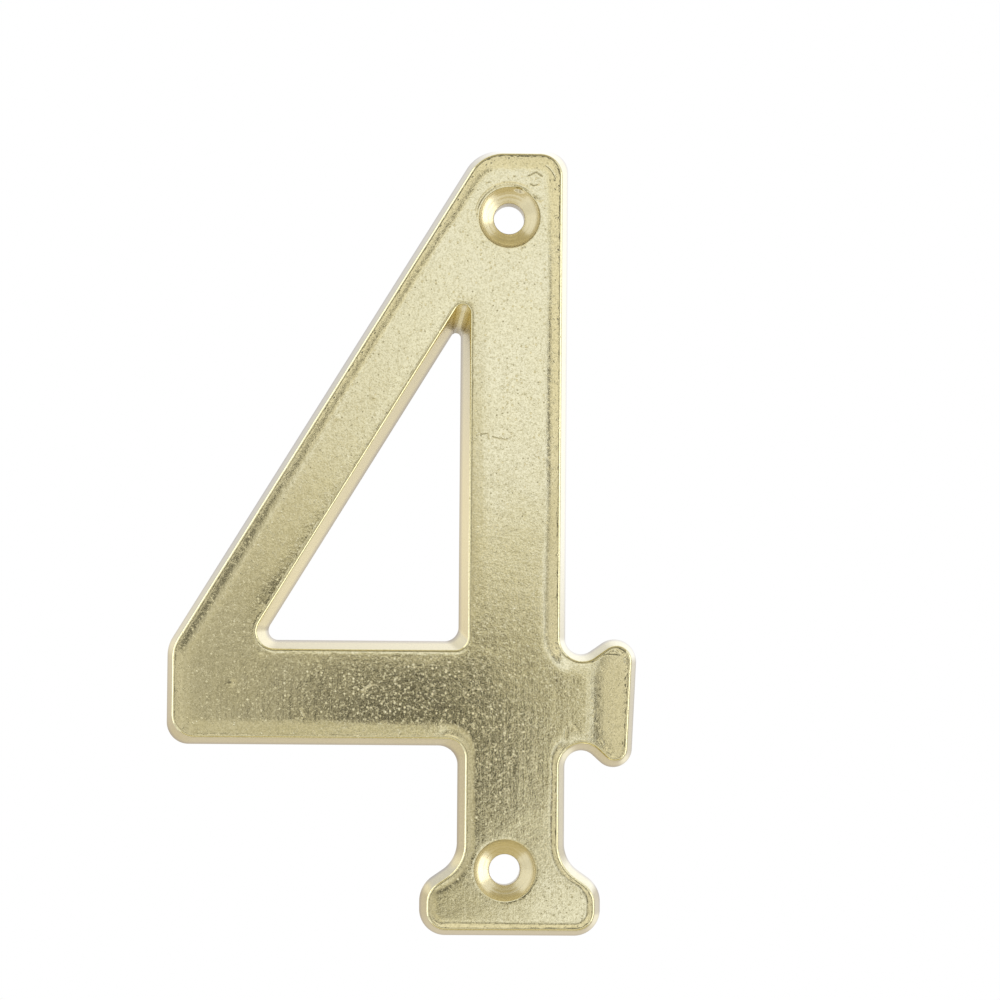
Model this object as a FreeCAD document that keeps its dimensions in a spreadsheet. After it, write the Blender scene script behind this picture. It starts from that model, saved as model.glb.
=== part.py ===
# A cast brass door numeral, the figure four, made to be fixed to a door with two countersunk screws.
# Frame: +Z runs up the figure, +X to the right of someone facing it, and its face looks towards -Y.
# The flat back lies on y = 0, and the origin is midway between the two screw holes.
import FreeCAD, Part
import Sketcher
import math
import os

doc = FreeCAD.newDocument("DoorNumeral")

# Driving dimensions in millimetres, each one on the back face unless its note says otherwise.
SIZES = [
    ("screw_spacing", 84.0, "between the two screw holes"),
    ("screw_hole", 4.0, "diameter of the screw holes"),
    ("screw_head", 8.0, "diameter of the countersinks at the face"),
    ("countersink_angle", 90.0, "included angle of the countersinks, in degrees"),
    ("thickness", 5.0, "from the back to the face"),
    ("flare", 1.1, "how far the outer walls spread from the face to the back"),
    ("edge_round", 0.5, "rounding between the walls and the face"),
    ("top_margin", 9.25, "from the upper screw to the top edge"),
    ("foot_margin", 8.6, "from the lower screw to the underside of the foot"),
    ("stem_left", 6.1, "from the screw line to the left side of the stem"),
    ("stem_right", 7.75, "from the screw line to the right side of the stem"),
    ("top_width", 11.8, "from the right side of the stem to the diagonal, along the top"),
    ("top_left_round", 4.9, "corner between the top and the diagonal"),
    ("top_right_round", 2.8, "corner between the top and the stem"),
    ("diagonal_width", 9.85, "diagonal, across from the outside to the counter"),
    ("bar_height", 24.4, "from the underside of the foot to the underside of the crossbar"),
    ("bar_thickness", 13.5, "crossbar, from its underside to the counter"),
    ("bar_reach", 37.6, "crossbar, from the left side of the stem to its left end"),
    ("left_end_height", 12.7, "left end of the crossbar, up to the diagonal"),
    ("left_top_round", 4.55, "corner between the left end and the diagonal"),
    ("left_bottom_round", 2.85, "corner between the left end and the underside"),
    ("joint_round", 2.5, "inner corner between the crossbar and the lower stem"),
    ("foot_side", 6.4, "foot, height of its upright sides"),
    ("foot_rise", 3.3, "foot, height of the slope from its sides up to the stem"),
    ("foot_left_reach", 4.8, "foot, beyond the left side of the stem"),
    ("foot_right_reach", 4.7, "foot, beyond the right side of the stem"),
    ("foot_neck_round", 4.25, "hollow curve from the stem into the foot"),
    ("foot_shoulder_round", 3.85, "upper corners of the foot"),
    ("foot_toe_round", 3.35, "lower corners of the foot"),
    ("serif_top_reach", 9.5, "serif, beyond the right side of the stem at its upper tip"),
    ("serif_low_reach", 8.5, "serif, beyond the right side of the stem at its lower tip"),
    ("serif_rise", 3.2, "serif, its upper tip above the top of the crossbar"),
    ("serif_dip", 3.45, "upper hollow at the stem, below the top of the crossbar"),
    ("serif_drop", 5.5, "serif, its lower tip below the underside of the crossbar"),
    ("serif_lift", 2.2, "lower hollow at the stem, above the underside of the crossbar"),
    ("serif_top_round", 2.85, "upper tip of the serif"),
    ("serif_low_round", 2.45, "lower tip of the serif"),
    ("serif_dip_round", 2.05, "upper hollow beside the serif"),
    ("serif_lift_round", 2.15, "lower hollow beside the serif"),
    ("counter_flare", 1.25, "how far the triangular counter widens from the back to the face"),
    ("counter_tip_round", 0.65, "top of the counter, at the back"),
    ("counter_tip_face_round", 1.1, "top of the counter, at the face"),
    ("counter_left_round", 1.25, "left corner of the counter, at the back"),
    ("counter_left_face_round", 2.3, "left corner of the counter, at the face"),
    ("counter_stem_round", 1.8, "corner of the counter between crossbar and stem"),
]

sheet = doc.addObject("Spreadsheet::Sheet", "Sizes")
for row, (alias, value, note) in enumerate(SIZES, start=1):
    sheet.set(f"A{row}", note)
    sheet.set(f"B{row}", str(value))
    sheet.setAlias(f"B{row}", alias)
doc.recompute()

# Distance within which a point counts as lying on another one or on a plane.
NEAR = 1e-4
# Largest share of a side that the arcs at its two ends may take up.
ARC_SHARE = 0.97

# Lines of the figure that several corners share.
TOP = "(Sizes.screw_spacing / 2 + Sizes.top_margin)"
UNDERSIDE = "(-Sizes.screw_spacing / 2 - Sizes.foot_margin)"
FOOT_SHOULDER = f"({UNDERSIDE} + Sizes.foot_side)"
FOOT_NECK = f"({FOOT_SHOULDER} + Sizes.foot_rise)"
BAR_UNDERSIDE = f"({UNDERSIDE} + Sizes.bar_height)"
BAR_TOP = f"({BAR_UNDERSIDE} + Sizes.bar_thickness)"
BAR_END_TOP = f"({BAR_UNDERSIDE} + Sizes.left_end_height)"
STEM_LEFT = "(-Sizes.stem_left)"
STEM_RIGHT = "Sizes.stem_right"
TOP_LEFT = f"({STEM_RIGHT} - Sizes.top_width)"
BAR_END = f"({STEM_LEFT} - Sizes.bar_reach)"
FOOT_LEFT = f"({STEM_LEFT} - Sizes.foot_left_reach)"
FOOT_RIGHT = f"({STEM_RIGHT} + Sizes.foot_right_reach)"


def size(expression):
    """The present value of an expression of the sheet's cells."""
    return float(sheet.evalExpression(expression))


def bind(sketch, constraint, name, expression):
    """Add a dimension to a sketch and tie it to the sheet."""
    index = sketch.addConstraint(constraint)
    sketch.renameConstraint(index, name)
    sketch.setExpression(f"Constraints.{name}", expression)


def add_sketch(name, depth=None):
    """A sketch parallel to the back, which it lies on unless a depth towards the face is given."""
    sketch = body.newObject("Sketcher::SketchObject", name)
    back_plane = [plane for plane in body.Origin.OriginFeatures if plane.Role == "XZ_Plane"][0]
    sketch.AttachmentSupport = (back_plane, [""])
    sketch.MapMode = "FlatFace"
    if depth:
        sketch.setExpression(".AttachmentOffset.Base.z", depth)
    return sketch


def limited_radii(points, half_angles, radii):
    """The wanted radii as expressions, cut back together at a side too short for the arcs at its ends."""
    count = len(points)
    takes = [size(radii[i]) / math.tan(half_angles[i]) if radii[i] else 0 for i in range(count)]
    shares = [1.0] * count
    for i in range(count):
        side = points[i].distanceToPoint(points[i - 1])
        if takes[i] + takes[i - 1] > ARC_SHARE * side:
            share = ARC_SHARE * side / (takes[i] + takes[i - 1])
            shares[i] = min(shares[i], share)
            shares[i - 1] = min(shares[i - 1], share)
    return [radius and f"{radius} * {share}" for radius, share in zip(radii, shares)]


def draw_outline(sketch, corners):
    """Draw a closed outline through (name, x, z, radius) corners, given as expressions of the sheet.
    A corner with a radius gets a tangent arc, and its sharp corner stays as the point that is sized."""
    names = [name for name, x, z, radius in corners]
    points = [FreeCAD.Vector(size(x), size(z), 0) for name, x, z, radius in corners]
    count = len(corners)
    to_before = [(points[i - 1] - points[i]).normalize() for i in range(count)]
    to_after = [(points[(i + 1) % count] - points[i]).normalize() for i in range(count)]
    half_angles = [to_before[i].getAngle(to_after[i]) / 2 for i in range(count)]
    radii = limited_radii(points, half_angles, [radius for name, x, z, radius in corners])

    reaches = [size(radii[i]) / math.tan(half_angles[i]) if radii[i] else 0 for i in range(count)]
    starts = [points[i] + to_before[i] * reaches[i] for i in range(count)]
    ends = [points[i] + to_after[i] * reaches[i] for i in range(count)]
    lines = [sketch.addGeometry(Part.LineSegment(ends[i - 1], starts[i]), False) for i in range(count)]

    for i in range(count):
        line_in, line_out = lines[i], lines[(i + 1) % count]
        if radii[i]:
            bisector = (to_before[i] + to_after[i]).normalize()
            centre = points[i] + bisector * (size(radii[i]) / math.sin(half_angles[i]))
            circle = Part.Circle(centre, FreeCAD.Vector(0, 0, 1), size(radii[i]))
            turns_left = to_after[i].cross(to_before[i]).z > 0
            first, last = (starts[i], ends[i]) if turns_left else (ends[i], starts[i])
            bend = Part.ArcOfCircle(circle, circle.parameter(first), circle.parameter(last))
            arc = sketch.addGeometry(bend, False)
            corner = sketch.addGeometry(Part.Point(points[i]), True)
            arc_in, arc_out = (1, 2) if turns_left else (2, 1)
            sketch.addConstraint(Sketcher.Constraint("Tangent", line_in, 2, arc, arc_in))
            sketch.addConstraint(Sketcher.Constraint("Tangent", line_out, 1, arc, arc_out))
            sketch.addConstraint(Sketcher.Constraint("PointOnObject", corner, 1, line_in))
            sketch.addConstraint(Sketcher.Constraint("PointOnObject", corner, 1, line_out))
            bend_radius = Sketcher.Constraint("Radius", arc, size(radii[i]))
            bind(sketch, bend_radius, f"{names[i]}_radius", radii[i])
            carrier = (corner, 1)
        else:
            sketch.addConstraint(Sketcher.Constraint("Coincident", line_in, 2, line_out, 1))
            carrier = (line_in, 2)
        along_x = Sketcher.Constraint("DistanceX", -1, 1, *carrier, points[i].x)
        along_z = Sketcher.Constraint("DistanceY", -1, 1, *carrier, points[i].y)
        bind(sketch, along_x, f"{names[i]}_x", corners[i][1])
        bind(sketch, along_z, f"{names[i]}_z", corners[i][2])


def corner_edge(shape, corner_x, corner_z):
    """Name of the slanting edge that climbs from a sharp corner of the back to the face."""
    foot = FreeCAD.Vector(size(corner_x), 0, size(corner_z))
    for number, edge in enumerate(shape.Edges, start=1):
        starts_there = min(vertex.Point.distanceToPoint(foot) for vertex in edge.Vertexes) < NEAR
        if starts_there and edge.BoundBox.YLength > NEAR:
            return f"Edge{number}"
    raise RuntimeError(f"no edge climbs from {foot}")


def face_edges(shape):
    """Names of the edges that bound the face of the figure."""
    names = []
    for number, edge in enumerate(shape.Edges, start=1):
        box = edge.BoundBox
        if abs(box.YMin + size("Sizes.thickness")) < NEAR and box.YLength < NEAR:
            names.append(f"Edge{number}")
    return names


body = doc.addObject("PartDesign::Body", "number_four")
body.Label = "number_four"

# The outline of the whole figure at the back, anticlockwise from the top left. The corners that are
# rounded alike at back and face stay sharp here, and the curves of the foot and the serif are drawn.
OUTLINE_CORNERS = [
    ("top_left", TOP_LEFT, TOP, None),
    ("left_top", BAR_END, BAR_END_TOP, None),
    ("left_bottom", BAR_END, BAR_UNDERSIDE, None),
    ("joint", STEM_LEFT, BAR_UNDERSIDE, None),
    ("foot_left_neck", STEM_LEFT, FOOT_NECK, "Sizes.foot_neck_round"),
    ("foot_left_shoulder", FOOT_LEFT, FOOT_SHOULDER, "Sizes.foot_shoulder_round"),
    ("foot_left_toe", FOOT_LEFT, UNDERSIDE, "Sizes.foot_toe_round"),
    ("foot_right_toe", FOOT_RIGHT, UNDERSIDE, "Sizes.foot_toe_round"),
    ("foot_right_shoulder", FOOT_RIGHT, FOOT_SHOULDER, "Sizes.foot_shoulder_round"),
    ("foot_right_neck", STEM_RIGHT, FOOT_NECK, "Sizes.foot_neck_round"),
    ("serif_lift", STEM_RIGHT, f"{BAR_UNDERSIDE} + Sizes.serif_lift", "Sizes.serif_lift_round"),
    ("serif_low", f"{STEM_RIGHT} + Sizes.serif_low_reach", f"{BAR_UNDERSIDE} - Sizes.serif_drop",
     "Sizes.serif_low_round"),
    ("serif_top", f"{STEM_RIGHT} + Sizes.serif_top_reach", f"{BAR_TOP} + Sizes.serif_rise",
     "Sizes.serif_top_round"),
    ("serif_dip", STEM_RIGHT, f"{BAR_TOP} - Sizes.serif_dip", "Sizes.serif_dip_round"),
    ("top_right", STEM_RIGHT, TOP, None),
]
outline = add_sketch("FigureOutline")
draw_outline(outline, OUTLINE_CORNERS)
doc.recompute()

# The casting, whose walls draw in all round from the back to the face.
casting = body.newObject("PartDesign::Pad", "Casting")
casting.Profile = outline
casting.setExpression("Length", "Sizes.thickness")
casting.setExpression("TaperAngle", "-atan(Sizes.flare / Sizes.thickness)")
doc.recompute()

# The corners with the same radius from back to face.
CAST_CORNERS = [
    ("top_left", "Sizes.top_left_round"),
    ("left_top", "Sizes.left_top_round"),
    ("left_bottom", "Sizes.left_bottom_round"),
    ("joint", "Sizes.joint_round"),
    ("top_right", "Sizes.top_right_round"),
]
corner_places = {name: (x, z) for name, x, z, radius in OUTLINE_CORNERS}
figure = casting
for name, radius in CAST_CORNERS:
    rounded = body.newObject("PartDesign::Fillet", f"{name}_corner")
    rounded.Base = (figure, [corner_edge(figure.Shape, *corner_places[name])])
    rounded.setExpression("Radius", radius)
    doc.recompute()
    figure = rounded

# The triangular counter between the stem, the crossbar and the diagonal, whose two sides are parallel.
# Towards the face all three sides move apart alike, so the sharp corners slide along the bisectors.
DIAGONAL_SLOPE = f"(({TOP} - {BAR_END_TOP}) / ({TOP_LEFT} - {BAR_END}))"
DIAGONAL_ANGLE = f"atan({DIAGONAL_SLOPE})"
DIAGONAL_ALONG_X = f"(Sizes.diagonal_width / sin({DIAGONAL_ANGLE}))"
COUNTER_LEFT = f"({BAR_END} + ({BAR_TOP} - {BAR_END_TOP}) / {DIAGONAL_SLOPE} + {DIAGONAL_ALONG_X})"
COUNTER_TIP = f"({BAR_END_TOP} + ({STEM_LEFT} - {DIAGONAL_ALONG_X} - {BAR_END}) * {DIAGONAL_SLOPE})"
LEFT_SHIFT = f"Sizes.counter_flare / tan({DIAGONAL_ANGLE} / 2)"
TIP_SHIFT = f"Sizes.counter_flare / tan((90 deg - {DIAGONAL_ANGLE}) / 2)"
counter_back = add_sketch("CounterAtBack")
draw_outline(counter_back, [
    ("tip", STEM_LEFT, COUNTER_TIP, "Sizes.counter_tip_round"),
    ("left", COUNTER_LEFT, BAR_TOP, "Sizes.counter_left_round"),
    ("stem", STEM_LEFT, BAR_TOP, "Sizes.counter_stem_round"),
])
counter_face = add_sketch("CounterAtFace", "Sizes.thickness")
draw_outline(counter_face, [
    ("tip", f"{STEM_LEFT} + Sizes.counter_flare", f"{COUNTER_TIP} + {TIP_SHIFT}",
     "Sizes.counter_tip_face_round"),
    ("left", f"{COUNTER_LEFT} - {LEFT_SHIFT}", f"{BAR_TOP} - Sizes.counter_flare",
     "Sizes.counter_left_face_round"),
    ("stem", f"{STEM_LEFT} + Sizes.counter_flare", f"{BAR_TOP} - Sizes.counter_flare",
     "Sizes.counter_stem_round"),
])
doc.recompute()
counter = body.newObject("PartDesign::SubtractiveLoft", "Counter")
counter.Profile = counter_back
counter.Sections = [counter_face]
counter.Ruled = True
doc.recompute()

# The edge between the walls and the face, rounded all the way round the figure and its counter.
soft_edge = body.newObject("PartDesign::Fillet", "SoftEdge")
soft_edge.Base = (counter, face_edges(counter.Shape))
soft_edge.setExpression("Radius", "Sizes.edge_round")
doc.recompute()

# Two holes through the stem, countersunk from the face.
screw_centres = add_sketch("ScrewCentres", "Sizes.thickness")
for name, height in (("upper", "Sizes.screw_spacing / 2"), ("lower", "-Sizes.screw_spacing / 2")):
    middle = FreeCAD.Vector(0, size(height), 0)
    circle = Part.Circle(middle, FreeCAD.Vector(0, 0, 1), size("Sizes.screw_hole / 2"))
    ring = screw_centres.addGeometry(circle, False)
    screw_centres.addConstraint(Sketcher.Constraint("PointOnObject", ring, 3, -2))
    bind(screw_centres, Sketcher.Constraint("DistanceY", -1, 1, ring, 3, middle.y), f"{name}_z", height)
    diameter = Sketcher.Constraint("Diameter", ring, size("Sizes.screw_hole"))
    bind(screw_centres, diameter, f"{name}_diameter", "Sizes.screw_hole")
doc.recompute()
screw_holes = body.newObject("PartDesign::Hole", "ScrewHoles")
screw_holes.Profile = screw_centres
doc.recompute()
screw_holes.DepthType = "ThroughAll"
screw_holes.HoleCutType = "Countersink"
screw_holes.HoleCutCustomValues = True
screw_holes.setExpression("Diameter", "Sizes.screw_hole")
screw_holes.setExpression("HoleCutDiameter", "Sizes.screw_head")
screw_holes.setExpression("HoleCutCountersinkAngle", "Sizes.countersink_angle")
body.Tip = screw_holes
doc.recompute()

for feature in doc.Objects:
    if "Invalid" in feature.State or "Error" in feature.State:
        raise RuntimeError(f"{feature.Name} did not rebuild")
if not screw_holes.Shape.Volume < soft_edge.Shape.Volume < counter.Shape.Volume < figure.Shape.Volume:
    raise RuntimeError("the counter, the edge or the holes took nothing away")
if body.Shape.isNull() or not body.Shape.isValid() or len(body.Shape.Solids) != 1:
    raise RuntimeError("the figure is not one valid solid")

os.makedirs("parts", exist_ok=True)
body.Shape.exportStep(f"parts/{body.Label}.step")
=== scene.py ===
import math

import bmesh
import bpy
import numpy as np
from mathutils import Matrix
from mathutils.geometry import delaunay_2d_cdt
from mathutils.kdtree import KDTree


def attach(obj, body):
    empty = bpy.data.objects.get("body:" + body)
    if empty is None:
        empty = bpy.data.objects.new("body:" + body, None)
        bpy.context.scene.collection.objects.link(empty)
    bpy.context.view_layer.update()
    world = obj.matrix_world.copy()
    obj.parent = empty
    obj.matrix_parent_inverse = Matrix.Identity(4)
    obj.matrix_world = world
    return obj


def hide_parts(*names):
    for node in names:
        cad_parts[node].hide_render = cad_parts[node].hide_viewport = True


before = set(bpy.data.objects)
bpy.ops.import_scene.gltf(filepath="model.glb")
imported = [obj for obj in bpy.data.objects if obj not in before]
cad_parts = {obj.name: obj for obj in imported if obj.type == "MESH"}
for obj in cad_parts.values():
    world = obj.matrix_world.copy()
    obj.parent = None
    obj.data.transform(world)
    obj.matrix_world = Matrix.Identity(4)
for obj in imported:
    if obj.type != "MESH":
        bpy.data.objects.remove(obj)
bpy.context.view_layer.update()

# The side walls of the numeral: one brass casting, five millimetres thick. The walls spread from the face
# to the flat back, as a pattern must to leave its mould, and the edge of the face is softly rounded.
MM = 0.001
THICKNESS = 5.0
FIGURE_FLARE = 1.0
COUNTER_FLARE = 1.25
# Corners at the back in millimetres: x, z, and the radius there and at the face, with the metal on the left.
FIGURE_CORNERS = [
    (-4.05, 51.25, 4.9, 4.9),
    (-43.7, -13.5, 4.55, 4.55),
    (-43.7, -26.2, 2.85, 2.85),
    (-6.1, -26.2, 2.5, 2.5),
    (-6.1, -40.9, 4.25, 5.25),
    (-10.9, -44.2, 3.85, 2.85),
    (-10.9, -50.6, 3.35, 2.35),
    (12.45, -50.6, 3.35, 2.35),
    (12.45, -44.2, 3.85, 2.85),
    (7.75, -40.9, 4.25, 5.25),
    (7.75, -24.0, 2.15, 3.15),
    (16.25, -31.7, 2.45, 1.45),
    (17.245, -9.5, 2.85, 1.85),
    (7.75, -16.15, 2.05, 3.05),
    (7.75, 51.25, 2.8, 2.8),
]
COUNTER_CORNERS = [
    (-6.1, 29.04, 0.65, 1.1),
    (-6.1, -12.7, 1.8, 1.8),
    (-31.66, -12.7, 1.25, 2.3),
]
POINT_SPACING = 0.22
# How closely the points lie round a corner and along a side, and the fewest steps round a corner.
CORNER_SHARE, SIDE_SHARE, FEWEST_STEPS = 2.2, 0.9, 10


def sharp_corners(corners, inset):
    """Sharp corners of an outline after all its sides have moved into the metal."""
    points = np.array([corner[:2] for corner in corners])
    along = np.roll(points, -1, 0) - points
    along /= np.linalg.norm(along, axis=1)[:, None]
    inward = np.stack([-along[:, 1], along[:, 0]], 1)
    shift = [np.linalg.solve([inward[i - 1], inward[i]], [inset, inset]) for i in range(len(points))]
    return points + np.array(shift)


def rounded_loop(points, radii, steps):
    """Points along an outline with rounded corners, and the directions into the metal at each of them."""
    count = len(points)
    arcs = []
    for i in range(count):
        before, after = points[i - 1] - points[i], points[(i + 1) % count] - points[i]
        before, after = before / np.linalg.norm(before), after / np.linalg.norm(after)
        half = math.acos(np.clip(before @ after, -1, 1)) / 2
        turn = np.sign(after[0] * before[1] - after[1] * before[0])
        bisector = (before + after) / np.linalg.norm(before + after)
        centre = points[i] + bisector * radii[i] / math.sin(half)
        start = points[i] + before * radii[i] / math.tan(half) - centre
        angle = math.atan2(start[1], start[0]) + np.linspace(0, turn * (math.pi - 2 * half), steps[i][0] + 1)
        rays = np.stack([np.cos(angle), np.sin(angle)], 1)
        arcs.append((centre + rays * radii[i], -turn * rays))
    places, inward = [], []
    for i in range(count):
        end, start = arcs[i][0][-1], arcs[(i + 1) % count][0][0]
        share = np.linspace(0, 1, steps[i][1] + 1)[1:-1, None]
        side = (start - end) / np.linalg.norm(start - end)
        places += [arcs[i][0], end + (start - end) * share]
        inward += [arcs[i][1], np.repeat([[-side[1], side[0]]], len(share), 0)]
    return np.concatenate(places), np.concatenate(inward)


def step_counts(corners):
    """How many steps each corner's arc and the side after it take."""
    points = np.array([corner[:2] for corner in corners])
    steps = []
    for i, corner in enumerate(corners):
        side = np.linalg.norm(points[(i + 1) % len(points)] - points[i])
        arc_steps = max(FEWEST_STEPS, round(CORNER_SHARE * corner[2] / POINT_SPACING))
        steps.append((arc_steps, round(SIDE_SHARE * side / POINT_SPACING)))
    return steps


# The face of the casting: cast a little crowned, then polished by hand over a mop, so a shoulder runs along
# all its edges and it is never quite flat. It keeps a chipped tip at the serif, and dents and scratches
# from handling.
FACE_HEIGHT = 4.93
EDGE_ROUND = 0.48
SHOULDER_TILT = math.radians(8)
SHOULDER_START, SHOULDER_END = 0.3, 2.3
SHOULDER_SPAN = SHOULDER_END - SHOULDER_START
# The serif falls away towards its end.
SERIF_TILT = math.radians(5.5)
SERIF_START, SERIF_END, SERIF_LOW = 9.5, 13.0, -36.0
STEM_LEFT, STEM_RIGHT, BAR_LOW = -7.0, 6.6, -23.0
# The shares of the shoulder that the mop left off at the serif and under the bar, and how much narrower it
# made the shoulder low on the figure.
SERIF_SPARED, BAR_SPARED, LOW_NARROWED = 0.75, 0.45, 0.58
# The ragged line where the face meets its edge, and the worn end of the serif.
RAGGED_DEPTH, RAGGED_WIDTH = 0.013, 0.12
WORN_START, WORN_DEPTH = 13.8, 0.03
# The shoulder's shares along the counter: the least, at its lower side, and how much more there is above.
COUNTER_LEAST, COUNTER_MORE = 0.05, 0.22
# Waves of the face as height and length in millimetres, and seed.
FACE_WAVES = [(0.012, 9.0, 1), (0.004, 3.0, 2)]
# Dents as x, z, radius and depth in millimetres, and lumps with a depth below zero.
DENTS = [
    (-35.1, -18.3, 0.34, 0.03), (-31.3, -14.3, 0.3, 0.025), (-17.28, 18.67, 0.25, -0.03),
    (-22.0, 15.9, 0.3, -0.02), (1.75, 38.2, 0.22, -0.05), (-3.5, 38.65, 0.2, -0.05),
]
# Scratches as depth, half width and places; a depth below zero is a raised fleck.
SCRATCHES = [
    (0.045, 0.05, [(2.48, 47.44), (3.37, 47.91), (4.11, 47.39)]),
    (0.035, 0.05, [(2.67, 46.33), (3.12, 46.14), (3.57, 46.27)]),
    (0.06, 0.1, [(3.09, 44.77), (3.39, 44.4), (3.91, 44.26), (4.2, 44.43)]),
    (0.02, 0.08, [(4.47, 48.89), (5.13, 48.45), (5.59, 47.85), (6.04, 46.96)]),
    (0.012, 0.08, [(2.77, 48.87), (3.66, 49.1), (4.39, 49.04)]),
    (0.014, 0.07, [(-3.42, 13.8), (-2.63, 13.91), (-2.53, 13.31)]),
    (0.02, 0.06, [(-1.85, 13.46), (-1.06, 13.28), (-0.17, 13.14), (0.47, 13.53)]),
    (0.012, 0.07, [(1.76, 18.96), (1.96, 19.05), (2.21, 18.99)]),
    (0.03, 0.1, [(7.78, -23.94), (7.71, -24.91)]),
    (0.03, 0.08, [(8.51, -23.28), (9.24, -24.1)]),
    (0.04, 0.08, [(12.86, -26.44), (13.52, -26.77)]),
    (0.05, 0.1, [(12.2, -25.46), (12.38, -25.71)]),
    (0.02, 0.08, [(-18.45, -19.09), (-17.41, -18.43)]),
    (0.02, 0.07, [(-13.57, -24.27), (-13.37, -24.79)]),
    (0.015, 0.07, [(-26.25, -21.75), (-25.86, -22.53)]),
    (-0.06, 0.1, [(14.1, -13.8), (14.5, -14.1), (14.83, -14.17)]),
    (-0.06, 0.1, [(15.3, -14.9), (15.45, -15.4)]),
]
# The chipped upper tip of the serif lies a little lower than the face, above this line.
CHIP_LINE = [
    (10.9, -15.2), (11.32, -15.04), (12.14, -14.66), (12.96, -14.41), (13.78, -14.45), (14.68, -14.48),
    (15.0, -14.27), (15.6, -13.6),
]
CHIP_DEPTH, CHIP_SLOPE, CHIP_TOP = 0.11, 0.3, -8.0
LATTICE = 512


def lattice_noise(places, cell, seed):
    """Smooth noise between -1 and 1 that changes over about one cell."""
    table = np.random.RandomState(seed).uniform(-1, 1, (LATTICE, LATTICE))
    scaled = np.asarray(places) / cell + 200.5
    whole = np.floor(scaled).astype(int)
    part = scaled - whole
    part = part * part * (3 - 2 * part)
    i, j = whole[:, 0] % (LATTICE - 1), whole[:, 1] % (LATTICE - 1)
    low = table[i, j] * (1 - part[:, 0]) + table[i + 1, j] * part[:, 0]
    high = table[i, j + 1] * (1 - part[:, 0]) + table[i + 1, j + 1] * part[:, 0]
    return low * (1 - part[:, 1]) + high * part[:, 1]


def off_line(places, line):
    """How far places are from a line through points."""
    nearest = np.full(len(places), 1e9)
    for start, end in zip(np.array(line), np.array(line[1:])):
        side = end - start
        share = np.clip((places - start) @ side / (side @ side), 0, 1)
        nearest = np.minimum(nearest, np.linalg.norm(places - start - share[:, None] * side, axis=1))
    return nearest


def smooth_step(value):
    value = np.clip(value, 0, 1)
    return value * value * (3 - 2 * value)


def shoulder_drop(rim):
    """How far the face falls away towards its edge, a given distance inside it."""
    share = np.clip((SHOULDER_END - rim) / SHOULDER_SPAN, 0, 1)
    past = np.clip(SHOULDER_START - rim, 0, None)
    return math.tan(SHOULDER_TILT) * (SHOULDER_SPAN * (share ** 3 - share ** 4 / 2) + past)


def counter_shoulder(places):
    """The share of the shoulder along the counter, which the mop reached least at its lower side."""
    return COUNTER_LEAST + COUNTER_MORE * smooth_step((places[:, 1] + 11.0) / 4.0)


def face_height(places, rim, shoulder):
    """Height of the face above the back, at places so far inside its edge, with a share of the shoulder."""
    x, z = places[:, 0], places[:, 1]
    serif_high = smooth_step((z - SERIF_LOW) / 3)
    on_serif = serif_high * smooth_step((x - STEM_RIGHT) / 2)
    under_bar = smooth_step((BAR_LOW - z) / 2) * smooth_step((STEM_LEFT - x) / 2)
    shoulder = shoulder * (1 - SERIF_SPARED * on_serif) * (1 - BAR_SPARED * under_bar)
    stretch = 1 - LOW_NARROWED * smooth_step((-22 - z) / 8) + 0.12 * lattice_noise(places, 14.0, 5)
    height = FACE_HEIGHT - shoulder * stretch * shoulder_drop(rim / stretch)
    share = np.clip((x - SERIF_START) / (SERIF_END - SERIF_START), 0, 1)
    fall = (SERIF_END - SERIF_START) * (share ** 3 - share ** 4 / 2) + np.clip(x - SERIF_END, 0, None)
    height -= math.tan(SERIF_TILT) * fall * serif_high
    height += sum(size * lattice_noise(places, length, seed) for size, length, seed in FACE_WAVES)
    ragged = np.clip(0.55 + 0.75 * lattice_noise(places, 0.5, 3), 0, 1.2)
    height -= RAGGED_DEPTH * ragged * np.exp(-(rim / RAGGED_WIDTH) ** 2)
    worn = on_serif * smooth_step((x - WORN_START) / 0.6)
    height += WORN_DEPTH * worn * lattice_noise(places, 0.3, 4) * np.exp(-((rim - 0.3) / 0.25) ** 2)
    for x0, z0, radius, depth in DENTS:
        height -= depth * np.exp(-(np.hypot(x - x0, z - z0) / radius) ** 2)
    for depth, half, line in SCRATCHES:
        height -= depth * np.exp(-(off_line(places, line) / half) ** 2)
    chip_x, chip_z = np.array(CHIP_LINE).T
    chipped = smooth_step((z - np.interp(x, chip_x, chip_z)) / CHIP_SLOPE)
    return height - CHIP_DEPTH * chipped * ((x > chip_x[0]) & (z < CHIP_TOP))


# The rows of points that shape the walls and the rounding between wall and face.
EDGE_STEPS = 9
WALL_STEPS = 5
vertices, faces = [], []
point_masks = {"wall": [], "cut_metal_and_bounce": [], "drilled_and_shaded": []}


def add_points(places, heights, wall=0.0, cut_metal_and_bounce=0.0, drilled_and_shaded=0.0):
    """Put points of the casting at places (x, z) and heights above the back, and return their numbers."""
    first = len(vertices)
    heights = np.broadcast_to(heights, len(places))
    vertices.extend(np.stack([places[:, 0], -heights, places[:, 1]], 1).tolist())
    for name, value in (("wall", wall), ("cut_metal_and_bounce", cut_metal_and_bounce), ("drilled_and_shaded", drilled_and_shaded)):
        point_masks[name].extend([value] * len(places))
    return np.arange(first, len(vertices))


def lay_rows(rows):
    """Close the strips between rows of points that each go all the way round."""
    for row, next_row in zip(rows, rows[1:]):
        ahead, next_ahead = np.roll(row, -1), np.roll(next_row, -1)
        faces.extend(np.stack([row, ahead, next_ahead, next_row], 1).tolist())


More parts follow.
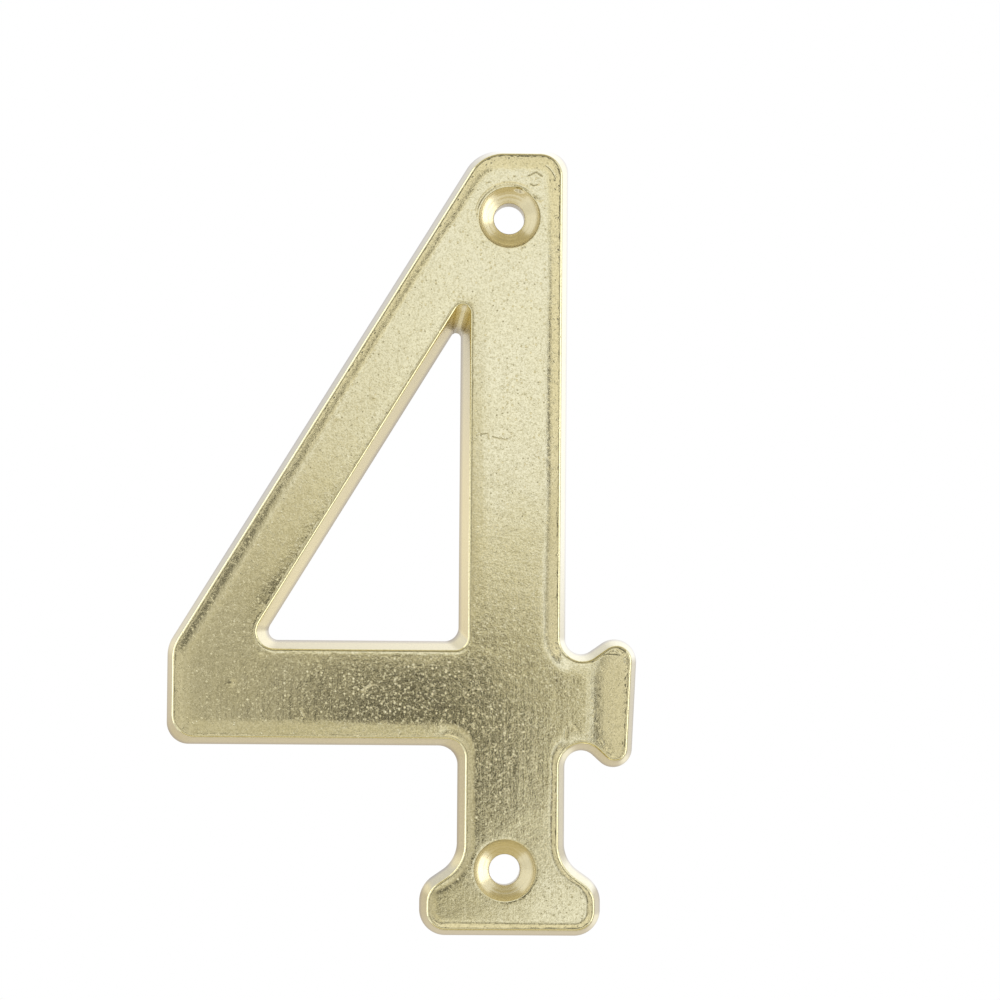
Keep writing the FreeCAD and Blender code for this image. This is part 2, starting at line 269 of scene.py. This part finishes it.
def edge_rows(front, inward, flare, shoulder):
    """Places and heights round the edge of the face, from the wall to the shoulder."""
    slant = math.hypot(flare, THICKNESS)
    tilt_end = SHOULDER_TILT * shoulder.mean()
    middle = face_height(front, np.zeros(len(front)), shoulder) - EDGE_ROUND * math.cos(tilt_end)
    wall_top = middle + EDGE_ROUND * flare / slant
    middle_in = flare * (wall_top / THICKNESS - 1) + EDGE_ROUND * THICKNESS / slant
    for tilt in np.linspace(math.atan2(THICKNESS, flare), tilt_end, EDGE_STEPS + 1):
        past = middle_in - EDGE_ROUND * math.sin(tilt)
        yield front + inward * past[:, None], middle + EDGE_ROUND * math.cos(tilt)


# Rows just inside the edge, in millimetres from it.
LIP_ROWS = (0.06, 0.12, 0.19, 0.28, 0.4)
back_rows, border_loops = [], []
# The counter's walls are marked for the warm colour, which on them is painted bounce light.
for corners, flare, cut_metal_and_bounce in ((FIGURE_CORNERS, FIGURE_FLARE, 0.0), (COUNTER_CORNERS, COUNTER_FLARE, 1.0)):
    steps = step_counts(corners)
    back = rounded_loop(sharp_corners(corners, 0), [c[2] for c in corners], steps)[0]
    front, inward = rounded_loop(sharp_corners(corners, flare), [c[3] for c in corners], steps)
    shoulder = counter_shoulder(front) if corners is COUNTER_CORNERS else np.ones(len(front))
    edge = list(edge_rows(front, inward, flare, shoulder))
    rows = []
    for share in np.linspace(0, 1, WALL_STEPS + 1)[:-1]:
        rows.append(add_points(back + (edge[0][0] - back) * share, edge[0][1] * share, wall=1.0, cut_metal_and_bounce=cut_metal_and_bounce))
    for k, (places, heights) in enumerate(edge):
        rows.append(add_points(places, heights, wall=1 - k / EDGE_STEPS, cut_metal_and_bounce=cut_metal_and_bounce if k == 0 else 0.0))
    loop = edge[-1][0]
    for rim in LIP_ROWS:
        places = loop + inward * rim
        rows.append(add_points(places, face_height(places, np.full(len(places), rim), shoulder)))
    lay_rows(rows)
    back_rows.append(rows[0])
    border_loops.append((loop, loop + inward * LIP_ROWS[-1], rows[-1]))

# The two screw holes: drilled through stem and foot, and countersunk from the face with a worn cutter.
# The cutter left rings in the cones, and a burr and a nick round the upper hole.
SCREW_SPACING = 84.0
HOLE_RADIUS = 2.0
HEAD_RADIUS = 3.93
HOLE_POINTS = 144
BORE_ROWS = 5
BORE_EDGE = 0.06
CONE_ROWS = 20
# The cutter's lips are worn, so the cone is steeper near its rim: shares of its width, and its fall there.
CONE_WIDTHS = np.linspace(0.03, 0.97, CONE_ROWS)
CONE_SLOPES = 0.72 + 0.4 * smooth_step((CONE_WIDTHS - 0.5) / 0.45)
CONE_FALLS = np.cumsum(CONE_SLOPES[::-1])[::-1] / CONE_ROWS
RING_DEPTH = 0.008
RIM_DROP, RIM_WIDTH = 0.03, 0.05
# The burr's ridge and the groove inside it as height, way past the countersink, and width.
BURR_ANGLE = math.radians(118)
BURR_RIDGE, BURR_GROOVE = (0.05, 0.42, 0.12), (0.03, 0.18, 0.08)
NICK_ANGLE, NICK_SPAN = math.radians(72), math.radians(8)
NICK_DEPTH, NICK_REACH = 0.4, 0.12
turn = np.linspace(0, 2 * math.pi, HOLE_POINTS, endpoint=False)
ring = np.stack([np.cos(turn), np.sin(turn)], 1)
# Points along the edges of the face, marked 0 at the figure's outline and 1 at the counter's.
EDGE_SHARES = (0, 1 / 3, 2 / 3)
edge_tree = KDTree(sum(len(EDGE_SHARES) * len(loop) for loop, inner, row in border_loops))
for k, (loop, inner, row) in enumerate(border_loops):
    for share in EDGE_SHARES:
        for x, z in loop + (np.roll(loop, -1, 0) - loop) * share:
            edge_tree.insert((x, z, 0), k)
edge_tree.balance()


def inner_height(places):
    """Height of the face at places anywhere inside its edges."""
    nearest = [edge_tree.find((x, z, 0))[1:] for x, z in places]
    at_counter = np.array([k == 1 for k, rim in nearest])
    shoulder = np.where(at_counter, counter_shoulder(places), 1.0)
    return face_height(places, np.array([rim for k, rim in nearest]), shoulder)


def ridge(past, shape):
    """Height of a ridge round a hole, some way past its countersink."""
    height, middle, width = shape
    return height * math.exp(-((past - middle) / width) ** 2)


# How far the rows round a hole go past its countersink, which is close to the edge at the foot.
UPPER_LIP = (0.02, 0.07, 0.14, 0.22, 0.31, 0.42, 0.55, 0.7, 0.9)
LOWER_LIP = UPPER_LIP[:3]
face_rings = []
tool_marks = np.random.RandomState(11).uniform(-RING_DEPTH, RING_DEPTH, CONE_ROWS)
cone_width = HEAD_RADIUS - HOLE_RADIUS
bore_top = FACE_HEIGHT - CONE_FALLS[0] * cone_width - BORE_EDGE
for middle, lip in ((SCREW_SPACING / 2, UPPER_LIP), (-SCREW_SPACING / 2, LOWER_LIP)):
    centre = np.array([0.0, middle])
    upper = 1.0 if middle > 0 else 0.0
    burr = upper * np.clip(2.2 * np.cos(turn - BURR_ANGLE) - 0.7, 0, 1)
    nick = upper * NICK_DEPTH * np.exp(-((turn - NICK_ANGLE) / NICK_SPAN) ** 2)
    rows = []
    for height in np.linspace(0, bore_top, BORE_ROWS):
        # The bores are marked for a painted shade in their colour and for more roughness.
        rows.append(add_points(centre + ring * HOLE_RADIUS, height, wall=0.6, cut_metal_and_bounce=1.0, drilled_and_shaded=1.0))
    for share, fall, mark in zip(CONE_WIDTHS, CONE_FALLS, tool_marks):
        places = centre + ring * (HOLE_RADIUS + share * cone_width)
        height = FACE_HEIGHT - fall * cone_width + mark * (1 - abs(2 * share - 1) ** 4)
        rows.append(add_points(places, height - nick * smooth_step(4 * share - 3), cut_metal_and_bounce=1.0))
    for past in lip:
        places = centre + ring * (HEAD_RADIUS + past)
        height = inner_height(places) - RIM_DROP * math.exp(-past / RIM_WIDTH)
        height += burr * (ridge(past, BURR_RIDGE) - ridge(past, BURR_GROOVE))
        rows.append(add_points(places, height - nick * math.exp(-(past / NICK_REACH) ** 2)))
    lay_rows(rows)
    back_rows.append(rows[0])
    face_rings.append((centre + ring * (HEAD_RADIUS + lip[-1]), rows[-1]))

# The rest of the face, with finer points along its scratches, and the flat back, which is ground so that it
# lies close on the door. They close the casting.
GRID_SPACING = 0.27
GRID_SHIFT = 0.04
ROW_CLEAR = 0.45 * GRID_SPACING
SCRATCH_ROWS = (-0.2, -0.12, -0.055, 0.0, 0.055, 0.12, 0.2)
SCRATCH_SPACING, SCRATCH_CLEAR = 0.09, 0.28
SHARP_ANGLE = math.radians(32)


def inside(places, loops):
    """Whether places lie in the metal between closed loops."""
    odd = np.zeros(len(places), bool)
    x, z = places[:, 0], places[:, 1]
    for loop in loops:
        for (x0, z0), (x1, z1) in zip(loop, np.roll(loop, -1, 0)):
            crosses = (z0 > z) != (z1 > z)
            odd ^= crosses & (x < x0 + (z - z0) * (x1 - x0) / (z1 - z0 + 1e-12))
    return odd


def close_between(loops, rows, extra=np.empty((0, 2)), extra_numbers=np.empty(0, int)):
    """Fill the metal between closed rows with triangles, through extra points if there are any."""
    places = np.concatenate(loops + [extra])
    numbers = np.concatenate(rows + [extra_numbers])
    sides, first = [], 0
    for loop in loops:
        count = len(loop)
        sides += [(first + i, first + (i + 1) % count) for i in range(count)]
        first += count
    result = delaunay_2d_cdt(places.tolist(), sides, [], 0, 1e-6)
    source = np.array([origin[0] for origin in result[3]])
    triangles = source[np.array(result[2])]
    middles = places[triangles].mean(1)
    faces.extend(numbers[triangles[inside(middles, loops)]].tolist())


loops = [inner for loop, inner, row in border_loops] + [places for places, row in face_rings]
rows = [row for loop, inner, row in border_loops] + [row for places, row in face_rings]
low, high = loops[0].min(0), loops[0].max(0)
across = np.arange(low[0], high[0], GRID_SPACING)
up = np.arange(low[1], high[1], GRID_SPACING * math.sqrt(3) / 2)
grid_x, grid_z = np.meshgrid(across, up)
grid_x = grid_x + (np.arange(len(up)) % 2)[:, None] * GRID_SPACING / 2
grid = np.stack([grid_x.ravel(), grid_z.ravel()], 1)
grid += np.random.RandomState(7).uniform(-GRID_SHIFT, GRID_SHIFT, grid.shape)
for line in [scratch[2] for scratch in SCRATCHES] + [CHIP_LINE]:
    fine = []
    for start, end in zip(np.array(line), np.array(line[1:])):
        side = (end - start) / np.linalg.norm(end - start)
        for along in np.arange(0, np.linalg.norm(end - start), SCRATCH_SPACING):
            fine += [start + side * along + np.array([-side[1], side[0]]) * off for off in SCRATCH_ROWS]
    grid = np.concatenate([grid[off_line(grid, line) > SCRATCH_CLEAR], fine])
grid = grid[inside(grid, loops)]
loop_tree = KDTree(sum(len(loop) for loop in loops))
for loop in loops:
    for x, z in loop:
        loop_tree.insert((x, z, 0), 0)
loop_tree.balance()
grid = grid[[loop_tree.find((x, z, 0))[2] > ROW_CLEAR for x, z in grid]]
grid_numbers = add_points(grid, inner_height(grid))
close_between(loops, rows, grid, grid_numbers)
back_places = np.array(vertices)[:, [0, 2]]
close_between([back_places[row] for row in back_rows], back_rows)

mesh = bpy.data.meshes.new("numeral")
mesh.from_pydata((np.array(vertices) * MM).tolist(), [], faces)
shell = bmesh.new()
shell.from_mesh(mesh)
bmesh.ops.recalc_face_normals(shell, faces=shell.faces)
shell.to_mesh(mesh)
shell.free()
for polygon in mesh.polygons:
    polygon.use_smooth = True
mesh.set_sharp_from_angle(angle=SHARP_ANGLE)
for name, values in point_masks.items():
    attribute = mesh.attributes.new(name, "FLOAT", "POINT")
    attribute.data.foreach_set("value", np.array(values, np.float32))
numeral = bpy.data.objects.new("numeral", mesh)
bpy.context.collection.objects.link(numeral)

# The brass itself: pale, polished and lacquered, with the fine pits of a casting, polishing streaks along
# each arm, and short hairlines from wiping. The cutter's cones show warmer metal; the same warm colour on the
# counter's walls is painted bounce light. The bores carry a painted shade, the walls a painted shade that
# darkens towards the back, and the back is ground on a belt.
PALE, PALE_GOLD = (0.87, 0.815, 0.53, 1), (0.855, 0.795, 0.495, 1)
SPECKED, PITTED = (0.58, 0.53, 0.3, 1), (0.42, 0.37, 0.22, 1)
CUT_METAL_AND_BOUNCE_TINT, BORE_SHADE = (0.86, 0.78, 0.51, 1), (0.52, 0.44, 0.27, 1)
# A painted shade for the walls near the back.
WALL_FOOT_SHADE = (0.44, 0.4, 0.36, 1)
GROUND, GROUND_DULL = (0.79, 0.715, 0.435, 1), (0.71, 0.635, 0.375, 1)
WARM_ROUGHNESS, DRILLED_ROUGHNESS = (0.27, 0.27, 0.27, 1), (0.42, 0.42, 0.42, 1)
# Relief in millimetres, with hollows below zero; that of the flecks is a slope.
SPECK_RELIEF, GRAIN_RELIEF, BLOTCH_RELIEF, WAVE_RELIEF = 0.0014, 0.004, 0.0055, 0.01
STREAK_RELIEF, PIT_RELIEF, HAIRLINE_RELIEF, BELT_RELIEF = 0.006, -0.03, -0.006, 0.02
FLECK_SLOPE = -0.16
# Turns of the diagonal's streaks and of the belt, in degrees, and of the hairlines with a shift of each.
DIAGONAL_TURN, BELT_TURN = -31.5, 8
HAIRLINES = ((25, 3.0), (70, 11.0), (-40, 23.0))
STREAK_STRETCH, HAIRLINE_STRETCH, BELT_STRETCH = (1.3, 1.0, 0.05), (0.28, 1.0, 2.2), (3.0, 1.0, 0.04)


def start_nodes(owner):
    """Empty the nodes of a material or world, and wire the next ones there."""
    global tree
    owner.use_nodes = True
    tree = owner.node_tree
    tree.nodes.clear()


def add_node(kind, settings=None, **inputs):
    """A node with its settings, and its inputs set to values or linked to sockets."""
    node = tree.nodes.new(kind)
    for name, value in (settings or {}).items():
        setattr(node, name, value)
    for name, value in inputs.items():
        key = int(name[1:]) if name[0] == "_" and name[1:].isdigit() else name.replace("_", " ")
        if isinstance(value, bpy.types.NodeSocket):
            tree.links.new(value, node.inputs[key])
        else:
            node.inputs[key].default_value = value
    return node


def arithmetic(operation, first, second=0.0):
    return add_node("ShaderNodeMath", {"operation": operation}, _0=first, _1=second).outputs[0]


def ramp(value, low, high, to_low=0.0, to_high=1.0):
    return add_node("ShaderNodeMapRange", {"interpolation_type": "SMOOTHSTEP"}, Value=value, From_Min=low,
                    From_Max=high, To_Min=to_low, To_Max=to_high).outputs["Result"]


def mixed(share, first, second):
    """A colour between two, each a value or a socket."""
    node = add_node("ShaderNodeMix", {"data_type": "RGBA"}, Factor=share, _6=first, _7=second)
    return node.outputs[2]


def painted(name):
    return add_node("ShaderNodeAttribute", {"attribute_name": name}).outputs["Fac"]


def vector_math(operation, first, second):
    return add_node("ShaderNodeVectorMath", {"operation": operation}, _0=first, _1=second).outputs[0]


def split(vector):
    """The X, Y and Z of a vector or a colour."""
    return add_node("ShaderNodeSeparateXYZ", Vector=vector).outputs


def noise(vector, scale, detail, roughness):
    return add_node("ShaderNodeTexNoise", Vector=vector, Scale=scale, Detail=detail,
                    Roughness=roughness).outputs[0]


def turned_place(degrees, shift, stretch):
    return add_node("ShaderNodeMapping", Vector=place, Rotation=(0, math.radians(degrees), 0),
                    Location=(shift, 0, shift), Scale=stretch).outputs[0]


def layered(height, share, depth):
    """The height with one more layer of relief on it, in millimetres."""
    return arithmetic("ADD", height, arithmetic("MULTIPLY", share, depth))


brass = bpy.data.materials.new("lacquered_brass")
start_nodes(brass)
own = add_node("ShaderNodeTexCoord").outputs
place = add_node("ShaderNodeVectorMath", {"operation": "SCALE"}, _0=own["Object"], Scale=1 / MM).outputs[0]
axes = split(place)
cloud = noise(place, 0.12, 3.0, 0.55)
speck = noise(place, 4.6, 3.0, 0.65)
height = arithmetic("MULTIPLY", ramp(speck, 0.35, 0.65), SPECK_RELIEF)
height = layered(height, ramp(noise(place, 4.0, 2.0, 0.6), 0.62, 0.72), GRAIN_RELIEF)
height = layered(height, ramp(noise(place, 2.2, 3.0, 0.65), 0.58, 0.72), BLOTCH_RELIEF)
height = layered(height, noise(place, 0.9, 2.0, 0.5), WAVE_RELIEF)
on_stem = ramp(axes["X"], -8.0, -6.0)
stem_streak = noise(turned_place(0, 0.0, STREAK_STRETCH), 1.0, 3.0, 0.6)
diagonal_streak = noise(turned_place(DIAGONAL_TURN, 9.0, STREAK_STRETCH), 1.0, 3.0, 0.6)
height = layered(height, mixed(on_stem, diagonal_streak, stem_streak), STREAK_RELIEF)
# Pits, flecks that stand proud and lean, and hairlines.
pit = add_node("ShaderNodeTexVoronoi", Vector=place, Scale=1.5).outputs
deep = ramp(split(pit["Color"])["X"], 0.6, 0.85)
pitted = arithmetic("MULTIPLY", ramp(pit["Distance"], 0.06, 0.19, 1.0, 0.0), deep)
height = layered(height, pitted, PIT_RELIEF)
fleck_place = turned_place(0, 50.0, (1.0, 1.0, 1.0))
fleck = add_node("ShaderNodeTexVoronoi", Vector=fleck_place, Scale=1.7).outputs
proud = ramp(split(fleck["Color"])["X"], 0.55, 0.8)
proud = arithmetic("MULTIPLY", ramp(fleck["Distance"], 0.14, 0.3, 1.0, 0.0), proud)
slant = split(vector_math("SUBTRACT", fleck_place, fleck["Position"]))["Z"]
height = layered(height, arithmetic("MULTIPLY", slant, proud), FLECK_SLOPE)
for degrees, shift in HAIRLINES:
    line = add_node("ShaderNodeTexVoronoi", Vector=turned_place(degrees, shift, HAIRLINE_STRETCH), Scale=1.1)
    height = layered(height, ramp(line.outputs["Distance"], 0.02, 0.08, 1.0, 0.0), HAIRLINE_RELIEF)
# The walls and cones are smoother, and so is the foot. The back has marks of its own.
smooth = arithmetic("MAXIMUM", painted("wall"), painted("cut_metal_and_bounce"))
height = arithmetic("MULTIPLY", height, ramp(smooth, 0.0, 1.0, 1.0, 0.15))
height = arithmetic("MULTIPLY", height, ramp(axes["Z"], -47.0, -41.0, 0.55, 1.15))
at_back = ramp(split(own["Normal"])["Y"], 0.6, 0.9)
belt_marks = noise(turned_place(BELT_TURN, 31.0, BELT_STRETCH), 1.0, 4.0, 0.65)
height = mixed(at_back, height, arithmetic("MULTIPLY", belt_marks, BELT_RELIEF))
bump = add_node("ShaderNodeBump", Strength=1.0, Distance=MM, Height=height)
pale = mixed(ramp(cloud, 0.35, 0.65), PALE, PALE_GOLD)
pale = mixed(ramp(speck, 0.36, 0.6, 0.65, 0.0), pale, SPECKED)
# Warm colour: cut metal in the cones, painted bounce light on the counter's walls.
colour = mixed(painted("cut_metal_and_bounce"), pale, CUT_METAL_AND_BOUNCE_TINT)
# Painted shade in the bores.
colour = mixed(painted("drilled_and_shaded"), colour, BORE_SHADE)
colour = mixed(arithmetic("MULTIPLY", pitted, 0.45), colour, PITTED)
# Painted shade: the sides darken over the last two millimetres towards the back, for a mirrored contact
# shadow.
colour = mixed(ramp(axes["Y"], -1.9, 0.0, 0.0, 0.85), colour, WALL_FOOT_SHADE)
belted = mixed(ramp(belt_marks, 0.35, 0.65), GROUND, GROUND_DULL)
colour = mixed(at_back, colour, belted)
roughness = mixed(painted("cut_metal_and_bounce"), ramp(cloud, 0.3, 0.7, 0.06, 0.085), WARM_ROUGHNESS)
roughness = mixed(painted("drilled_and_shaded"), roughness, DRILLED_ROUGHNESS)
roughness = mixed(at_back, roughness, ramp(cloud, 0.3, 0.7, 0.27, 0.36))
shader = add_node("ShaderNodeBsdfPrincipled", Base_Color=colour, Metallic=1.0, Normal=bump.outputs[0],
                  Roughness=roughness, Coat_Weight=0.3, Coat_Roughness=0.05)
add_node("ShaderNodeOutputMaterial", Surface=shader.outputs[0])
mesh.materials.append(brass)
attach(numeral, "root")
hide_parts("number_four")

# The studio: a pale floor far below, white all round, and cards that only the polished metal mirrors.
# The numeral hangs free in the middle, facing the camera.
scene = bpy.context.scene
scene.view_settings.view_transform = "Standard"


def seen_light(unseen, seen):
    """A strength for what is seen, straight or in the metal, and another for the light on other things."""
    path = add_node("ShaderNodeLightPath").outputs
    looked_at = arithmetic("MAXIMUM", path["Is Camera Ray"], path["Is Glossy Ray"])
    looked_at = arithmetic("MAXIMUM", looked_at, path["Is Transmission Ray"])
    return ramp(looked_at, 0, 1, unseen, seen)


world = bpy.data.worlds.new("studio")
scene.world = world
start_nodes(world)
light = add_node("ShaderNodeBackground", Color=(1, 1, 1, 1), Strength=seen_light(0.7, 1.0))
add_node("ShaderNodeOutputWorld", Surface=light.outputs[0])


def hang_card(name, corners, sides):
    """A card with a material that is ready to wire."""
    card_mesh = bpy.data.meshes.new(name)
    card_mesh.from_pydata(corners, [], sides)
    card = bpy.data.objects.new(name, card_mesh)
    bpy.context.collection.objects.link(card)
    card.visible_camera = False
    card.visible_shadow = False
    card.visible_diffuse = False
    card_paint = bpy.data.materials.new(name)
    card_mesh.materials.append(card_paint)
    start_nodes(card_paint)


RING_POINTS = 65


def hang_ring(name, middle, inner, outer, first=0, last=360):
    """A ring of card that faces along Y, or a part of one between angles; its radii are across and up."""
    angles = np.radians(np.linspace(first, last, RING_POINTS))
    x, y, z = middle
    corners = []
    for across, up in (inner, outer):
        corners += [(x + across * math.cos(a), y, z + up * math.sin(a)) for a in angles]
    count = len(angles)
    hang_card(name, corners, [(i, i + 1, count + i + 1, count + i) for i in range(count - 1)])


def glow(colour, strength=1.0):
    emission = add_node("ShaderNodeEmission", Color=colour, Strength=strength)
    add_node("ShaderNodeOutputMaterial", Surface=emission.outputs[0])


# The screen behind the camera is bright above and dimmer at the lower left, and dark where the camera stands.
# Shades as x, z, half width and half height in millimetres, and depth, which is below zero where brighter.
SCREEN_MIDDLE = (-0.014, -0.62, 0.02)
SHADES = [
    (-9, -32, 27, 19, 0.67), (-80, -5, 53, 50, 0.47), (1, -54, 11, 17, 0.9), (-9, -30, 16, 12, 0.7),
    (30, -10, 23, 24, 0.33), (0, -82, 11, 8, 0.36), (-60, -125, 45, 40, 0.36), (20, 55, 16, 30, -0.12),
    (32, -88, 18, 12, -0.11),
]
SHADE_REACH = 1e6
DARKEST = 0.08
FRAME_IN = (0.118, 0.172)
hang_ring("camera_screen", SCREEN_MIDDLE, (0, 0), FRAME_IN)
card_place = add_node("ShaderNodeTexCoord").outputs["Object"]
level = 1.0
for x, z, wide, tall, depth in SHADES:
    off = vector_math("SUBTRACT", card_place, (x * MM, 0, z * MM))
    off = vector_math("DIVIDE", off, (wide * MM, SHADE_REACH, tall * MM))
    off = add_node("ShaderNodeVectorMath", {"operation": "LENGTH"}, _0=off).outputs["Value"]
    shade = arithmetic("EXPONENT", arithmetic("MULTIPLY", arithmetic("MULTIPLY", off, off), -0.5))
    level = arithmetic("SUBTRACT", level, arithmetic("MULTIPLY", shade, depth))
level = arithmetic("MAXIMUM", level, DARKEST)
tint = mixed(ramp(split(card_place)["X"], -0.05, -0.01), (1.0, 0.95, 0.84, 1), (1.0, 0.942, 0.76, 1))
tint = mixed(ramp(level, 0.35, 0.62), (1.0, 0.955, 0.9, 1), tint)
glow(mixed(ramp(level, 0.72, 1.0), tint, (1.0, 1.015, 1.12, 1)), level)

# Round the screen the room is dimmer at the left, above and below, and a dark frame draws a line along the
# shoulders of the face. Flags farther out keep the face from blazing when it is seen from the side.
ROOM_TINT = (1.0, 0.957, 0.88, 1)
FRAME_OUT, ROOM_OUT = (0.16, 0.215), (0.33, 0.42)
WING_OUT, LINE_OUT, LEFT_OUT = (0.18, 0.2), (0.212, 0.23), (0.245, 0.26)
FLAG_OUT, FRONT_OUT = (0.48, 0.57), (1.07, 1.07)
for name, inner, outer, first, last, strength in (
        ("serif_frame", FRAME_IN, FRAME_OUT, -30, -11, 0.15),
        ("right_frame_low", FRAME_IN, FRAME_OUT, -11, 5, 0.45),
        ("right_frame", FRAME_IN, FRAME_OUT, 5, 25.5, 0.16),
        ("right_frame_high", FRAME_IN, FRAME_OUT, 25.5, 29, 0.4),
        ("serif_room", FRAME_OUT, ROOM_OUT, -30, 5, 0.8),
        ("right_room", FRAME_OUT, ROOM_OUT, 5, 60, 0.96),
        ("top_frame", FRAME_IN, FRAME_OUT, 60, 100, 0.95),
        ("low_frame", FRAME_IN, FRAME_OUT, 235, 330, 0.35),
        ("upper_wing", FRAME_IN, WING_OUT, 100, 150, 0.95),
        ("left_wing", FRAME_IN, WING_OUT, 150, 235, 0.6),
        ("upper_line", WING_OUT, LINE_OUT, 100, 150, 0.18),
        ("left_frame", WING_OUT, LEFT_OUT, 150, 176, 0.2),
        ("end_frame", WING_OUT, LEFT_OUT, 176, 235, 0.7),
        ("upper_room", LINE_OUT, ROOM_OUT, 100, 150, 0.95),
        ("left_room", LEFT_OUT, ROOM_OUT, 150, 235, 0.68),
        ("top_room", FRAME_OUT, ROOM_OUT, 60, 100, 0.9),
        ("low_room", FRAME_OUT, ROOM_OUT, 235, 330, 0.95),
        ("front_flag", ROOM_OUT, FLAG_OUT, 0, 360, 0.14),
        ("upper_flag", FLAG_OUT, FRONT_OUT, 35, 145, 0.28),
        ("far_room", FLAG_OUT, FRONT_OUT, 145, 395, 0.72)):
    hang_ring(name, SCREEN_MIDDLE, inner, outer, first, last)
    glow(ROOM_TINT, strength)

# Behind the numeral a card shades from grey at the left and tan below to white at the right, for the walls,
# and a brown flag hangs under it.
BACK_MIDDLE = (0.0, 0.3, 0.0)
BACK_IN, BACK_OUT, BACK_FLAG_OUT = (0.1, 0.1), (0.27, 0.27), (0.5, 0.5)
hang_ring("back_card", BACK_MIDDLE, BACK_IN, BACK_OUT)
card_axes = split(add_node("ShaderNodeTexCoord").outputs["Object"])
left = mixed(ramp(card_axes["Z"], 0.02, 0.06), (0.92, 0.85, 0.7, 1), (0.72, 0.705, 0.72, 1))
side = mixed(ramp(card_axes["X"], -0.11, 0.06), left, (1.17, 1.17, 1.2, 1))
under = mixed(ramp(card_axes["X"], -0.06, 0.04), (0.66, 0.59, 0.48, 1), (1.0, 0.95, 0.82, 1))
rightmost = arithmetic("MULTIPLY", ramp(card_axes["X"], 0.105, 0.118), ramp(card_axes["Z"], -0.09, -0.078))
under = mixed(rightmost, under, (0.74, 0.7, 0.65, 1))
under = mixed(ramp(card_axes["Z"], -0.1, -0.14), under, (0.68, 0.61, 0.5, 1))
glow(mixed(ramp(card_axes["Z"], 0.02, -0.03), side, under))
hang_ring("back_flag", BACK_MIDDLE, BACK_OUT, BACK_FLAG_OUT, 220, 320)
glow((0.35, 0.3, 0.24, 1))

# A tan card far to the right, white above, keeps the light's line along the right edges thin.
ONE_SIDE = [(0, 1, 2, 3)]
RIGHT_X = 0.6
RIGHT_CORNERS = [(0.0, -0.5), (0.32, -0.5), (0.32, 0.5), (0.0, 0.5)]
hang_card("right_card", [(RIGHT_X, y, z) for y, z in RIGHT_CORNERS], ONE_SIDE)
card_up = split(add_node("ShaderNodeTexCoord").outputs["Object"])["Z"]
glow(mixed(ramp(card_up, -0.01, 0.04), (0.5, 0.46, 0.38, 1), (0.95, 0.94, 0.92, 1)))

# Brown boards above and below, from in front of the face to a little behind it, for the countersinks.
BOARD_CORNERS = [(-0.5, -0.3), (0.5, -0.3), (0.5, 0.12), (-0.5, 0.12)]
for name, z, tint in (
        ("upper_board", 0.6, (0.45, 0.39, 0.23, 1)),
        ("lower_board", -0.55, (0.59, 0.51, 0.31, 1))):
    hang_card(name, [(x, y, z) for x, y in BOARD_CORNERS], ONE_SIDE)
    glow(tint)

# The floor ends short of what the camera sees, so the background there stays white.
FLOOR_Z = -0.6
FLOOR_CORNERS = [(-9, -9), (9, -9), (9, 5.8), (-9, 5.8)]
floor_mesh = bpy.data.meshes.new("floor")
floor_mesh.from_pydata([(x, y, FLOOR_Z) for x, y in FLOOR_CORNERS], [], ONE_SIDE)
floor = bpy.data.objects.new("floor", floor_mesh)
bpy.context.collection.objects.link(floor)
floor_paint = bpy.data.materials.new("floor_paint")
floor_mesh.materials.append(floor_paint)
start_nodes(floor_paint)
paint = add_node("ShaderNodeBsdfPrincipled", Base_Color=(0.95, 0.95, 0.95, 1), Roughness=0.9,
                 Emission_Color=(1, 1, 1, 1), Emission_Strength=seen_light(0.0, 0.17))
add_node("ShaderNodeOutputMaterial", Surface=paint.outputs[0])


def strip_light(name, position, size, power):
    """A softbox that faces the numeral."""
    data = bpy.data.lights.new(name, "AREA")
    data.shape = "RECTANGLE"
    data.size, data.size_y = size
    data.energy = power
    lamp = bpy.data.objects.new(name, data)
    bpy.context.collection.objects.link(lamp)
    facing = -np.array(position) / np.linalg.norm(position)
    side = np.cross((0, 1, 0), -facing)
    side /= np.linalg.norm(side)
    upward = np.cross(-facing, side)
    turned = [[side[i], upward[i], -facing[i], position[i]] for i in range(3)]
    lamp.matrix_world = Matrix(turned + [[0, 0, 0, 1]])


strip_light("left_light", (-0.85, 0.2, 0.2), (1.2, 0.5), 2.2)
strip_light("right_light", (0.8, -0.2, -0.1), (0.9, 0.32), 1.2)

# The camera stands before the numeral, a little left of its middle and below it. The lens is in pixels of a
# picture 1000 wide, and so is the place left of its middle and below it where the numeral is seen square.
CAMERA_PLACE = (-0.01362, -0.46, -0.01803)
PICTURE_WIDTH, LENS, SQUARE_LEFT, SQUARE_BELOW = 1000, 3546, 100, 182
SENSOR_WIDTH = 36.0
ROLL = math.radians(0.5)
camera_data = bpy.data.cameras.new("camera")
camera_data.sensor_width = SENSOR_WIDTH
camera_data.lens = SENSOR_WIDTH * LENS / PICTURE_WIDTH
camera = bpy.data.objects.new("camera", camera_data)
bpy.context.collection.objects.link(camera)
away = np.array([-SQUARE_LEFT / LENS, -SQUARE_BELOW / LENS, -1.0])
away /= np.linalg.norm(away)
upward = np.array([math.sin(ROLL), math.cos(ROLL), 0.0])
upward -= away * (upward @ away)
upward /= np.linalg.norm(upward)
sideways = np.cross(away, upward)
turned = [[*axis, at] for axis, at in zip((sideways, away, upward), CAMERA_PLACE)]
camera.matrix_world = Matrix(turned + [[0, 0, 0, 1]])
scene.camera = camera
